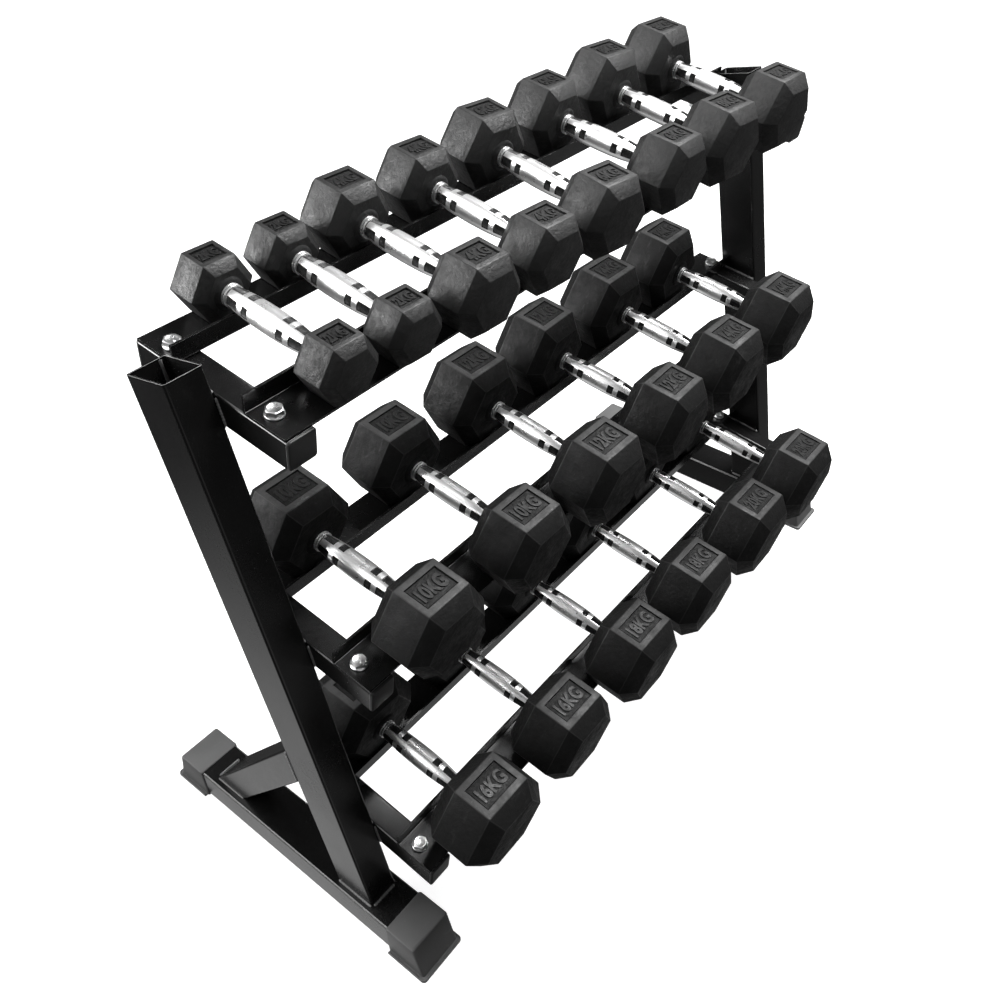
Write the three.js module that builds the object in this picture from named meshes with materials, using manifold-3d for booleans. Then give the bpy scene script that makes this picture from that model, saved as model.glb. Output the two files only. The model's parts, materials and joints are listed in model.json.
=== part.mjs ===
// Three-tier dumbbell rack with ten pairs of hexagonal dumbbells.
// Millimetres. +X runs along the shelves, +Y towards the rear, +Z up. The floor is z = 0.
import * as THREE from 'three';
import { mergeVertices } from 'three/addons/utils/BufferGeometryUtils.js';
import Module from 'manifold-3d';

const wasm = await Module();
wasm.setup();

// Clearance between pieces that touch on the real object.
const GAP = 0.3;

// How finely round shapes are faceted.
const ROUND_SIDES = 10;
const HANDLE_SIDES = 12;
const CORNER_STEPS = 2;

// Side frames: a base tube on the floor, an upright that leans back and a brace behind it.
const RACK_LENGTH = 1200;
const WALL = 2;
const CORNER_RADIUS = 3.5;
const UPRIGHT_WIDTH = 46;
const UPRIGHT_DEPTH = 65.3;
const UPRIGHT_LENGTH = 806.8;
const UPRIGHT_LEAN = THREE.MathUtils.degToRad(11.9);
const BASE_WIDTH = 66;
const BASE_HEIGHT = 54;
const BASE_TOP = 58.4;
const BASE_FRONT = -82;
const BASE_REAR = 402;
const BRACE_WIDTH = 44;
const BRACE_DEPTH = 48;
const BRACE_FOOT = 269;
const BRACE_PITCH = THREE.MathUtils.degToRad(51);

// Plastic foot caps over both ends of each base tube.
const CAP_WALL = 1.7;
const CAP_GRIP = 47;
const CAP_END_THICKNESS = 3.7;
const CAP_FLARE = 15.5;
const FLANGE_OVERHANG = 4.9;
const FLANGE_THICKNESS = 5;

// Shelves: two square arms welded inside the uprights carry a front and a rear angle rail.
const SHELF_NAMES = ['bottom', 'middle', 'top'];
const SHELF_FIRST_HEIGHT = 168.4;
const SHELF_PITCH = 317;
const SHELF_TILT = THREE.MathUtils.degToRad(7.75);
const ARM_REACH = 98;
const ARM_SIZE = 36.4;
const ARM_START = 2;
const ARM_END = 220.2;
const PLUG_THICKNESS = 3.5;
const PLUG_INSERT = 14;
const RAIL_WIDTH = 58;
const RAIL_HEIGHT = 24;
const RAIL_THICKNESS = 3;
const RAIL_BEND = 4;
const RAIL_FRONT_EDGE = 2.5;

// M10 hexagon bolts with washer and nut, through each rail end and the arm under it.
const BOLT_RADIUS = 5;
const BOLT_HOLE_RADIUS = 5.5;
const BOLT_FROM_EDGE = 34;
const HEX_ACROSS_FLATS = 17;
const HEX_HEIGHT = 6.4;
const WASHER_RADIUS = 10.5;
const WASHER_THICKNESS = 2;
const NUT_HEIGHT = 8;
const BOLT_TAIL = 3;

// Dumbbells: kilograms, head across flats, length of its flats, grip between the heads.
const SIZES = [
  { kg: 2, acrossFlats: 68, flatLength: 35, grip: 130 },
  { kg: 4, acrossFlats: 86, flatLength: 43, grip: 130 },
  { kg: 6, acrossFlats: 95, flatLength: 46, grip: 130 },
  { kg: 8, acrossFlats: 105, flatLength: 47, grip: 130 },
  { kg: 10, acrossFlats: 113, flatLength: 52, grip: 130 },
  { kg: 12, acrossFlats: 120, flatLength: 54, grip: 131 },
  { kg: 14, acrossFlats: 123, flatLength: 55, grip: 132 },
  { kg: 16, acrossFlats: 130, flatLength: 56, grip: 133 },
  { kg: 18, acrossFlats: 134, flatLength: 56, grip: 136 },
  { kg: 20, acrossFlats: 140, flatLength: 58, grip: 138 },
];
const CHAMFER_LENGTH_SHARE = 0.15;
const CHAMFER_FACE_SHARE = 0.72;
const HANDLE_RADIUS = 14.8;
const NECK_RADIUS = 11.5;
const COLLAR_RADIUS = 13;
const COLLAR_LENGTH = 10;
const HANDLE_SOCKET = 6;

// Where each dumbbell lies: distance from the rack's left end, how far it sits back from the
// rear rail's lip, and how many degrees it is turned.
const PLACES = {
  bottom: [
    { kg: 16, x: 132, back: 1, turn: 0 },
    { kg: 16, x: 297, back: 1, turn: 0 },
    { kg: 18, x: 470, back: 1, turn: 0 },
    { kg: 18, x: 640, back: 1, turn: 0 },
    { kg: 20, x: 819, back: 1, turn: 0 },
    { kg: 20, x: 999, back: 1, turn: 0 },
  ],
  middle: [
    { kg: 10, x: 132, back: 2, turn: 0 },
    { kg: 10, x: 300, back: 1.5, turn: 0.5 },
    { kg: 12, x: 463, back: 2, turn: 1 },
    { kg: 12, x: 626, back: 1.5, turn: -1 },
    { kg: 14, x: 792, back: 2, turn: 1 },
    { kg: 14, x: 963, back: 1.5, turn: 0 },
  ],
  top: [
    { kg: 2, x: 133, back: 13, turn: 1 },
    { kg: 2, x: 225, back: 10, turn: 2 },
    { kg: 4, x: 321, back: 3, turn: 2 },
    { kg: 4, x: 441, back: 3, turn: 3 },
    { kg: 6, x: 565, back: 4, turn: 6 },
    { kg: 6, x: 714, back: 8, turn: 1 },
    { kg: 8, x: 845, back: 4, turn: 5 },
    { kg: 8, x: 998, back: 4, turn: 3 },
  ],
};

const MATERIALS = {
  powderCoat: new THREE.MeshStandardMaterial({ color: 0x0b0b0c, roughness: 0.38, metalness: 0.1 }),
  capPlastic: new THREE.MeshStandardMaterial({ color: 0x2b2b2c, roughness: 0.6, metalness: 0 }),
  zinc: new THREE.MeshStandardMaterial({ color: 0xd6d8da, roughness: 0.25, metalness: 1 }),
  coatedIron: new THREE.MeshStandardMaterial({ color: 0x1d1d1e, roughness: 0.7, metalness: 0 }),
};

/** A closed three.js geometry as a solid that can be joined and cut. */
function toSolid(geometry) {
  const bare = geometry.clone();
  bare.deleteAttribute('normal');
  bare.deleteAttribute('uv');
  const merged = mergeVertices(bare, 1e-3);
  return new wasm.Manifold(new wasm.Mesh({
    numProp: 3,
    vertProperties: merged.attributes.position.array,
    triVerts: new Uint32Array(merged.index.array),
  }));
}

/** A joined or cut solid as a three.js geometry. */
function toGeometry(solid) {
  const mesh = solid.getMesh();
  const geometry = new THREE.BufferGeometry();
  geometry.setAttribute('position', new THREE.BufferAttribute(mesh.vertProperties, 3));
  geometry.setIndex(new THREE.BufferAttribute(mesh.triVerts, 1));
  geometry.computeVertexNormals();
  return geometry;
}

function join(geometries) {
  return toGeometry(geometries.map(toSolid).reduce((whole, piece) => whole.add(piece)));
}

function cut(geometry, tools) {
  return toGeometry(tools.map(toSolid).reduce((rest, tool) => rest.subtract(tool), toSolid(geometry)));
}

function piece(name, geometry, material) {
  const mesh = new THREE.Mesh(geometry, MATERIALS[material]);
  mesh.name = name;
  return mesh;
}

/** A box by its low and high corners. */
function boxBetween(low, high) {
  const box = new THREE.BoxGeometry(high[0] - low[0], high[1] - low[1], high[2] - low[2]);
  return box.translate((low[0] + high[0]) / 2, (low[1] + high[1]) / 2, (low[2] + high[2]) / 2);
}

/** An upright cylinder or prism from one height to another. */
function column(radius, from, to, sides) {
  const cylinder = new THREE.CylinderGeometry(radius, radius, to - from, sides);
  return cylinder.rotateX(Math.PI / 2).translate(0, 0, (from + to) / 2);
}

/** An outline extruded along Z. */
function extrude(outline, depth) {
  return new THREE.ExtrudeGeometry(outline, { depth, bevelEnabled: false, curveSegments: CORNER_STEPS });
}

function roundedRectangle(outline, width, depth, radius) {
  const x = width / 2 - radius;
  const y = depth / 2 - radius;
  outline.absarc(x, -y, radius, -Math.PI / 2, 0);
  outline.absarc(x, y, radius, 0, Math.PI / 2);
  outline.absarc(-x, y, radius, Math.PI / 2, Math.PI);
  outline.absarc(-x, -y, radius, Math.PI, 1.5 * Math.PI);
  return outline;
}

/** A rectangular tube along Z. Each end can be sloped: it then rises by its slope along Y. */
function rectangularTube(width, depth, length, startSlope = 0, endSlope = 0) {
  const section = roundedRectangle(new THREE.Shape(), width, depth, CORNER_RADIUS);
  const bore = roundedRectangle(new THREE.Path(), width - 2 * WALL, depth - 2 * WALL, CORNER_RADIUS - WALL);
  section.holes.push(bore);
  const tube = extrude(section, length);
  const points = tube.attributes.position;
  for (let i = 0; i < points.count; i += 1) {
    const slope = points.getZ(i) < length / 2 ? startSlope : endSlope;
    points.setZ(i, points.getZ(i) + slope * points.getY(i));
  }
  return tube;
}

// ---- Side frames ----

function baseTube() {
  const tube = rectangularTube(BASE_WIDTH, BASE_HEIGHT, BASE_REAR - BASE_FRONT);
  return tube.rotateX(-Math.PI / 2).translate(0, BASE_FRONT, BASE_TOP - BASE_HEIGHT / 2);
}

/** The upright stands on the base tube, with its foot cut level and its top cut square. */
function upright() {
  const lowEnd = UPRIGHT_DEPTH / 2 * Math.tan(UPRIGHT_LEAN) + GAP;
  const tube = rectangularTube(UPRIGHT_WIDTH, UPRIGHT_DEPTH, UPRIGHT_LENGTH - lowEnd, Math.tan(UPRIGHT_LEAN));
  tube.translate(0, UPRIGHT_DEPTH / 2, lowEnd);
  return tube.rotateX(-UPRIGHT_LEAN).translate(0, 0, BASE_TOP);
}

/** The brace rises forwards from the base tube to the upright's rear face, both ends mitred. */
function brace() {
  const rearFaceFoot = UPRIGHT_DEPTH / Math.cos(UPRIGHT_LEAN);
  const footCentre = BRACE_FOOT + BRACE_DEPTH / 2 / Math.sin(BRACE_PITCH);
  const away = Math.PI / 2 - BRACE_PITCH;
  const meeting = away + UPRIGHT_LEAN;
  const reach = (footCentre - rearFaceFoot) * Math.cos(UPRIGHT_LEAN) / Math.sin(meeting);
  const footSlope = -Math.tan(away);
  const headSlope = 1 / Math.tan(meeting);
  const tube = rectangularTube(BRACE_WIDTH, BRACE_DEPTH, reach - 3 * GAP, footSlope, headSlope);
  return tube.translate(0, 0, GAP * 1.5).rotateX(away).translate(0, footCentre, BASE_TOP);
}

/** A cap that sleeves over the tube's front end. Its end wall flares down to a floor flange. */
function footCap() {
  const outerEnd = BASE_FRONT - GAP - CAP_END_THICKNESS;
  const innerEnd = BASE_FRONT + CAP_GRIP;
  const top = BASE_TOP + GAP + CAP_WALL;
  const halfWidth = BASE_WIDTH / 2 + GAP + CAP_WALL;
  const toe = outerEnd - CAP_FLARE;
  const profile = new THREE.Shape([
    new THREE.Vector2(innerEnd, 0),
    new THREE.Vector2(innerEnd, top),
    new THREE.Vector2(outerEnd, top),
    new THREE.Vector2(toe, 0),
  ]);
  const body = extrude(profile, 2 * halfWidth);
  body.rotateX(Math.PI / 2).rotateZ(Math.PI / 2).translate(-halfWidth, 0, 0);
  const flange = boxBetween(
    [-halfWidth - FLANGE_OVERHANG, toe - FLANGE_OVERHANG, 0],
    [halfWidth + FLANGE_OVERHANG, innerEnd - CAP_END_THICKNESS, FLANGE_THICKNESS],
  );
  const socket = boxBetween(
    [-BASE_WIDTH / 2 - GAP, BASE_FRONT - GAP, BASE_TOP - BASE_HEIGHT - GAP],
    [BASE_WIDTH / 2 + GAP, innerEnd + 1, BASE_TOP + GAP],
  );
  return cut(join([body, flange]), [socket]);
}

function sideFrame(side) {
  const frame = new THREE.Group();
  frame.add(piece(`base_tube_${side}`, baseTube(), 'powderCoat'));
  frame.add(piece(`upright_${side}`, upright(), 'powderCoat'));
  frame.add(piece(`brace_${side}`, brace(), 'powderCoat'));
  frame.add(piece(`foot_cap_front_${side}`, footCap(), 'capPlastic'));
  const rearCap = piece(`foot_cap_rear_${side}`, footCap(), 'capPlastic');
  rearCap.rotation.z = Math.PI;
  rearCap.position.y = BASE_FRONT + BASE_REAR;
  frame.add(rearCap);
  frame.position.x = sideSign(side) * (RACK_LENGTH - UPRIGHT_WIDTH) / 2;
  return frame;
}

// ---- Shelves. Inside a shelf, y is the distance behind the arms' front ends and z = 0 is their top ----

const railEnd = RACK_LENGTH / 2 - UPRIGHT_WIDTH - GAP;
const armCentre = railEnd - ARM_SIZE / 2;
const rearRailEdge = ARM_END;
const rearLipBack = rearRailEdge - RAIL_WIDTH + RAIL_THICKNESS;
const flangeTop = GAP + RAIL_THICKNESS;
const boltRows = { front: RAIL_FRONT_EDGE + BOLT_FROM_EDGE, rear: rearRailEdge - BOLT_FROM_EDGE };

function sideSign(side) {
  return side === 'left' ? -1 : 1;
}

function arm() {
  const tube = rectangularTube(ARM_SIZE, ARM_SIZE, ARM_END - ARM_START);
  tube.rotateX(-Math.PI / 2).translate(0, ARM_START, -ARM_SIZE / 2);
  const holes = Object.values(boltRows).map(
    (y) => column(BOLT_HOLE_RADIUS, -ARM_SIZE - 1, 1, ROUND_SIDES).translate(0, y, 0),
  );
  return cut(tube, holes);
}

/** A plastic plug that closes the arm's front end. */
function armPlug() {
  const outline = roundedRectangle(new THREE.Shape(), ARM_SIZE, ARM_SIZE, CORNER_RADIUS);
  const plate = extrude(outline, PLUG_THICKNESS);
  const half = ARM_SIZE / 2 - WALL - CORNER_RADIUS / 3;
  const insert = boxBetween([-half, -half, 0], [half, half, PLUG_INSERT]);
  const plug = join([plate, insert]);
  return plug.rotateX(-Math.PI / 2).translate(0, ARM_START - GAP - PLUG_THICKNESS, -ARM_SIZE / 2);
}

/** An angle rail with its flat flange towards the front and its lip standing at the rear. */
function rail() {
  const section = new THREE.Shape();
  section.moveTo(0, 0);
  section.lineTo(RAIL_WIDTH - RAIL_BEND, 0);
  section.absarc(RAIL_WIDTH - RAIL_BEND, RAIL_BEND, RAIL_BEND, -Math.PI / 2, 0);
  section.lineTo(RAIL_WIDTH, RAIL_HEIGHT);
  section.lineTo(RAIL_WIDTH - RAIL_THICKNESS, RAIL_HEIGHT);
  const innerBend = RAIL_BEND - RAIL_THICKNESS;
  section.absarc(RAIL_WIDTH - RAIL_BEND, RAIL_BEND, innerBend, 0, -Math.PI / 2, true);
  section.lineTo(0, RAIL_THICKNESS);
  const bar = extrude(section, 2 * railEnd);
  bar.rotateX(Math.PI / 2).rotateZ(Math.PI / 2).translate(-railEnd, 0, 0);
  const holes = [-armCentre, armCentre].map(
    (x) => column(BOLT_HOLE_RADIUS, -1, RAIL_THICKNESS + 1, ROUND_SIDES).translate(x, BOLT_FROM_EDGE, 0),
  );
  return cut(bar, holes);
}

/** A bolt from above, with its washer on the rail and its nut under the arm. */
function bolt() {
  const hexRadius = HEX_ACROSS_FLATS / Math.sqrt(3);
  const washerFoot = flangeTop + GAP;
  const headFoot = washerFoot + WASHER_THICKNESS;
  const nutTop = -ARM_SIZE - GAP;
  return join([
    column(hexRadius, headFoot, headFoot + HEX_HEIGHT, 6),
    column(WASHER_RADIUS, washerFoot, headFoot, ROUND_SIDES),
    column(BOLT_RADIUS, nutTop - NUT_HEIGHT - BOLT_TAIL, headFoot, ROUND_SIDES),
    column(hexRadius, nutTop - NUT_HEIGHT, nutTop, 6),
  ]);
}

/** A chamfered hexagonal head from its inner face outwards along Y, resting on one of its flats. */
function dumbbellHead(size) {
  const faceAt = size.grip / 2;
  const corner = size.acrossFlats / Math.sqrt(3);
  const chamfer = size.acrossFlats * CHAMFER_LENGTH_SHARE;
  const flatsFrom = faceAt + chamfer;
  const flatsTo = flatsFrom + size.flatLength;
  const profile = [
    new THREE.Vector2(0, faceAt),
    new THREE.Vector2(corner * CHAMFER_FACE_SHARE, faceAt),
    new THREE.Vector2(corner, flatsFrom),
    new THREE.Vector2(corner, flatsTo),
    new THREE.Vector2(corner * CHAMFER_FACE_SHARE, flatsTo + chamfer),
    new THREE.Vector2(0, flatsTo + chamfer),
  ];
  return new THREE.LatheGeometry(profile, 6, Math.PI / 2);
}

/** A barrel-shaped handle along Y with a collar beside each head. */
function dumbbellHandle(size) {
  const half = size.grip / 2;
  const neckAt = half - COLLAR_LENGTH;
  const barrel = [-1, -0.55, 0, 0.55, 1].map((share) => new THREE.Vector2(
    NECK_RADIUS + (HANDLE_RADIUS - NECK_RADIUS) * (1 - Math.abs(share) ** 2.4),
    share * neckAt,
  ));
  const profile = [
    new THREE.Vector2(0, -half - HANDLE_SOCKET),
    new THREE.Vector2(COLLAR_RADIUS, -half - HANDLE_SOCKET),
    new THREE.Vector2(COLLAR_RADIUS, -neckAt),
    ...barrel,
    new THREE.Vector2(COLLAR_RADIUS, neckAt),
    new THREE.Vector2(COLLAR_RADIUS, half + HANDLE_SOCKET),
    new THREE.Vector2(0, half + HANDLE_SOCKET),
  ];
  return new THREE.LatheGeometry(profile, HANDLE_SIDES);
}

function dumbbell(size) {
  const farHead = dumbbellHead(size);
  const nearHead = dumbbellHead(size).rotateZ(Math.PI);
  return join([dumbbellHandle(size), farHead, nearHead]);
}

function placedDumbbell(place, pairLetter) {
  const size = SIZES.find((candidate) => candidate.kg === place.kg);
  const mesh = piece(`dumbbell_${place.kg}kg_${pairLetter}`, dumbbell(size), 'coatedIron');
  mesh.position.x = place.x - RACK_LENGTH / 2;
  mesh.position.y = rearLipBack + place.back - size.grip / 2;
  mesh.position.z = flangeTop + GAP + size.acrossFlats / 2;
  mesh.rotation.z = THREE.MathUtils.degToRad(-place.turn);
  return mesh;
}

function shelf(name, level) {
  const group = new THREE.Group();
  for (const side of ['left', 'right']) {
    const x = sideSign(side) * armCentre;
    const sidePieces = [
      piece(`shelf_arm_${name}_${side}`, arm(), 'powderCoat'),
      piece(`arm_plug_${name}_${side}`, armPlug(), 'capPlastic'),
    ];
    for (const [row, y] of Object.entries(boltRows)) {
      sidePieces.push(piece(`bolt_${name}_${row}_${side}`, bolt().translate(0, y, 0), 'zinc'));
    }
    for (const mesh of sidePieces) {
      mesh.position.x = x;
      group.add(mesh);
    }
  }
  const frontRail = piece(`rail_${name}_front`, rail(), 'powderCoat');
  frontRail.position.set(0, RAIL_FRONT_EDGE, GAP);
  const rearRail = piece(`rail_${name}_rear`, rail(), 'powderCoat');
  rearRail.rotation.z = Math.PI;
  rearRail.position.set(0, rearRailEdge, GAP);
  group.add(frontRail, rearRail);
  PLACES[name].forEach((place, index) => group.add(placedDumbbell(place, index % 2 ? 'b' : 'a')));
  const height = SHELF_FIRST_HEIGHT + level * SHELF_PITCH;
  const uprightFace = (height - BASE_TOP) * Math.tan(UPRIGHT_LEAN);
  group.position.set(0, uprightFace - ARM_REACH, height);
  group.rotation.x = SHELF_TILT;
  return group;
}

// ---- Assembly, moved so that the origin is under the middle of the whole object ----

const rack = new THREE.Group();
rack.add(sideFrame('left'), sideFrame('right'));
SHELF_NAMES.forEach((name, level) => rack.add(shelf(name, level)));
const extent = new THREE.Box3().setFromObject(rack, true);
rack.position.y = -(extent.min.y + extent.max.y) / 2;

const part = new THREE.Group();
part.add(rack);

export default part;
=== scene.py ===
import json
import math

import bmesh
import bpy
from mathutils import Matrix, Vector

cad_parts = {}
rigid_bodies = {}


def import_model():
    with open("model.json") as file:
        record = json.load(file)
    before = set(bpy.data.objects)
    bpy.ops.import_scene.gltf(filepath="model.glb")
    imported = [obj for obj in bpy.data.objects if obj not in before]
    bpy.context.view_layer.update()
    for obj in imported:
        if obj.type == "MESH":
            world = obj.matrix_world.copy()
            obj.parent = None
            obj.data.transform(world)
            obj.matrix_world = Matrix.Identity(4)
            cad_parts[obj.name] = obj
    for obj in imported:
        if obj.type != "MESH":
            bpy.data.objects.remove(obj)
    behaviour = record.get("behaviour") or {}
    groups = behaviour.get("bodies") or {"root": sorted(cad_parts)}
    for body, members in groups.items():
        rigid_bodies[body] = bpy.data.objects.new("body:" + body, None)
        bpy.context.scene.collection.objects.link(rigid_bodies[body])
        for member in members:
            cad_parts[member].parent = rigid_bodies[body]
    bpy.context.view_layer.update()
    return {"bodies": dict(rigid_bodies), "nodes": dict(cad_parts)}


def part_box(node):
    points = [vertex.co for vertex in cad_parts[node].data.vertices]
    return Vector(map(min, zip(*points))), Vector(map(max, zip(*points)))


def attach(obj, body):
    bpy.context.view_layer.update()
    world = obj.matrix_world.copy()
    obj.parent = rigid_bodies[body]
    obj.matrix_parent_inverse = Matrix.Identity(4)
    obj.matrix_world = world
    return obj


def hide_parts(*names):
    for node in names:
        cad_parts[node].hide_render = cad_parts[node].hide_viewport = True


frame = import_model()

# Lengths below are millimetres in a piece's own axes. +X runs along the shelves, +Y to the rear, +Z up.
MM = 0.001
TO_METRES = Matrix.Scale(MM, 4)

# Side frames.
WALL = 2
UPRIGHT_WIDTH = 46
UPRIGHT_DEPTH = 65.3
UPRIGHT_LENGTH = 806.8
UPRIGHT_LEAN = math.radians(11.9)
BASE_WIDTH = 66
BASE_HEIGHT = 54
BASE_TOP = 58.4
BASE_FRONT = -82
BASE_REAR = 402
BRACE_WIDTH = 44
BRACE_DEPTH = 48
BRACE_FOOT = 269
BRACE_PITCH = math.radians(51)

# Foot caps.
CAP_TOP = 60.4
CAP_HALF_WIDTH = 35
CAP_INNER_END = -35
CAP_OUTER_END = -86
CAP_TOE = -101.5
FLANGE_OVERHANG = 4.9
FLANGE_INNER_END = -38.7
FLANGE_HEIGHT = 5
FLANGE_CORNER = 6
CAP_CORNER = 3.5

# Shelves. Inside a shelf, y is the distance behind the arms' front ends and z = 0 is their top.
TIERS = ("bottom", "middle", "top")
SIDES = {"left": -1, "right": 1}
SHELF_TILT = math.radians(7.75)
GAP = 0.3
ARM_SIZE = 36.4
ARM_CENTRE = 535.5
ARM_START = 2
ARM_END = 220.2
ARM_CORNER = 3.5
PLUG_THICKNESS = 3.5
RAIL_END = 553.7
BOLT_ROWS = {"front": 36.5, "rear": 186.2}
HEX_ACROSS_FLATS = 17
HEX_HEIGHT = 6.4
WASHER_RADIUS = 10.5
WASHER_THICKNESS = 2
WASHER_FOOT = 3.6
NUT_HEIGHT = 8
BOLT_RADIUS = 5
BOLT_TAIL = 3

# Dumbbells: kilograms -> head across flats, length of its flats, grip between the heads.
SIZES = {
    2: (68, 35, 130),
    4: (86, 43, 130),
    6: (95, 46, 130),
    8: (105, 47, 130),
    10: (113, 52, 130),
    12: (120, 54, 131),
    14: (123, 55, 132),
    16: (130, 56, 133),
    18: (134, 56, 136),
    20: (140, 58, 138),
}
CHAMFER_LENGTH_SHARE = 0.15
CHAMFER_FACE_SHARE = 0.72
HANDLE_RADIUS = 14.8
NECK_RADIUS = 11.5
COLLAR_RADIUS = 13
# Heads up to this weight, on the top shelf, get a paler and glossier copy of the rubber: painted light for
# the brighter light up there.
LAST_SMALL_KG = 8
# How many degrees each dumbbell is turned on its rails.
TURNS = {
    "2kg_a": 1, "2kg_b": 2, "4kg_a": 2, "4kg_b": 3, "6kg_a": 6, "6kg_b": 1, "8kg_a": 5, "8kg_b": 3,
    "10kg_b": 0.5, "12kg_a": 1, "12kg_b": -1, "14kg_a": 1,
}


# ---- Materials ----

class Finish:
    """A Principled material whose colour, roughness and bump come from procedural nodes."""

    def __init__(self, name, **values):
        self.material = bpy.data.materials.new(name)
        self.material.use_nodes = True
        self.tree = self.material.node_tree
        self.surface = self.tree.nodes["Principled BSDF"]
        self.place = self.tree.nodes.new("ShaderNodeTexCoord").outputs["Object"]
        for socket, value in values.items():
            self.surface.inputs[socket.replace("_", " ")].default_value = value

    def link(self, source, target):
        self.tree.links.new(source, target)

    def stretched(self, x, y, z):
        """The place, scaled differently along each axis."""
        node = self.tree.nodes.new("ShaderNodeMapping")
        node.inputs["Scale"].default_value = (x, y, z)
        self.link(self.place, node.inputs["Vector"])
        return node.outputs["Vector"]

    def noise(self, scale, detail=3.0, roughness=0.55, place=None):
        node = self.tree.nodes.new("ShaderNodeTexNoise")
        node.inputs["Scale"].default_value = scale
        node.inputs["Detail"].default_value = detail
        node.inputs["Roughness"].default_value = roughness
        self.link(place or self.place, node.inputs["Vector"])
        return node.outputs["Fac"]

    def spread(self, value, low, high, to_low, to_high):
        """Maps a value from one range to another, clamped."""
        node = self.tree.nodes.new("ShaderNodeMapRange")
        for socket, number in zip(("From Min", "From Max", "To Min", "To Max"), (low, high, to_low, to_high)):
            node.inputs[socket].default_value = number
        self.link(value, node.inputs["Value"])
        return node.outputs["Result"]

    def add(self, first, second, operation="ADD"):
        node = self.tree.nodes.new("ShaderNodeMath")
        node.operation = operation
        self.link(first, node.inputs[0])
        self.link(second, node.inputs[1])
        return node.outputs["Value"]

    def blend(self, factor, first, second):
        """A colour between a first one, a tuple or another node's, and a second one."""
        node = self.tree.nodes.new("ShaderNodeMix")
        node.data_type = "RGBA"
        if isinstance(first, bpy.types.NodeSocket):
            self.link(first, node.inputs["A"])
        else:
            node.inputs["A"].default_value = (*first, 1)
        node.inputs["B"].default_value = (*second, 1)
        self.link(factor, node.inputs["Factor"])
        return node.outputs["Result"]

    def colour(self, source):
        self.link(source, self.surface.inputs["Base Color"])

    def roughness(self, source):
        self.link(source, self.surface.inputs["Roughness"])

    def bump(self, height, strength, distance):
        node = self.tree.nodes.new("ShaderNodeBump")
        node.inputs["Strength"].default_value = strength
        node.inputs["Distance"].default_value = distance
        self.link(height, node.inputs["Height"])
        self.link(node.outputs["Normal"], self.surface.inputs["Normal"])


def grey(value):
    return (value, value, value)


def powder_coat(name, dark, light, gloss_low, gloss_high):
    """Sprayed black coat: fine orange peel, faint cloudy gloss and specks of dust."""
    finish = Finish(name, Specular_IOR_Level=0.5)
    clouds = finish.noise(7, detail=4)
    peel = finish.noise(380, detail=2)
    dust = finish.noise(150, detail=5, roughness=0.7)
    specks = finish.spread(dust, 0.70, 0.78, 0, 1)
    finish.colour(finish.blend(specks, finish.blend(clouds, grey(dark), grey(light)), grey(light * 2)))
    finish.roughness(finish.add(finish.spread(clouds, 0.35, 0.65, gloss_low, gloss_high),
                                finish.spread(dust, 0.4, 0.7, -0.01, 0.03)))
    finish.bump(peel, 0.05, 0.0003)
    return finish.material


def rubber(name, dark, light, rough, grain=0.3, specular=0.5):
    """Moulded rubber coating: mottled charcoal, a fine sandy grain and a few scuffs."""
    finish = Finish(name, Specular_IOR_Level=specular)
    mottle = finish.noise(38, detail=6, roughness=0.65)
    grit = finish.noise(750, detail=3, roughness=0.6)
    scuffs = finish.noise(24, detail=8, roughness=0.8, place=finish.stretched(1, 2.6, 0.8))
    marks = finish.spread(scuffs, 0.57, 0.72, 0, 1)
    base = finish.blend(finish.spread(mottle, 0.3, 0.7, 0, 1), grey(dark), grey(light))
    finish.colour(finish.blend(marks, base, grey(light * 2.4)))
    lumps = finish.noise(190, detail=3, roughness=0.6)
    finish.roughness(finish.add(finish.spread(mottle, 0.35, 0.65, rough + 0.10, rough - 0.11),
                                finish.spread(lumps, 0.3, 0.7, -0.09, 0.09)))
    finish.bump(finish.add(grit, finish.spread(lumps, 0.3, 0.7, 0, 2.2)), grain, 0.0005)
    return finish.material


def cap_plastic(name, dark, light, rough):
    """Moulded matt plastic with a fine spark-eroded grain."""
    finish = Finish(name, Specular_IOR_Level=0.4)
    clouds = finish.noise(18, detail=5)
    grain = finish.noise(1100, detail=2)
    streaks = finish.noise(45, detail=6, roughness=0.8, place=finish.stretched(1, 5, 1))
    scratches = finish.spread(streaks, 0.62, 0.7, 0, 1)
    base = finish.blend(finish.spread(clouds, 0.3, 0.7, 0, 1), grey(dark), grey(light))
    finish.colour(finish.blend(scratches, base, grey(light * 1.3)))
    finish.roughness(finish.add(finish.spread(clouds, 0.3, 0.7, rough - 0.05, rough + 0.05),
                                finish.spread(grain, 0.3, 0.7, -0.04, 0.04)))
    finish.bump(grain, 0.25, 0.0003)
    return finish.material


def polished_metal(name, tint, rough_low, rough_high, pits=0.03, metallic=1.0, along=7):
    """Plated metal with faint polishing marks and finger smudges."""
    finish = Finish(name, Metallic=metallic)
    smudges = finish.noise(60, detail=5, roughness=0.6)
    marks = finish.noise(260, detail=3, place=finish.stretched(1, along, 1))
    finish.colour(finish.blend(finish.spread(smudges, 0.35, 0.7, 0, 1), grey(tint), grey(tint * 0.88)))
    finish.roughness(finish.add(finish.spread(smudges, 0.35, 0.7, rough_low, rough_high),
                                finish.spread(marks, 0.3, 0.7, -0.02, 0.04)))
    finish.bump(marks, pits, 0.0003)
    return finish.material


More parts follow.
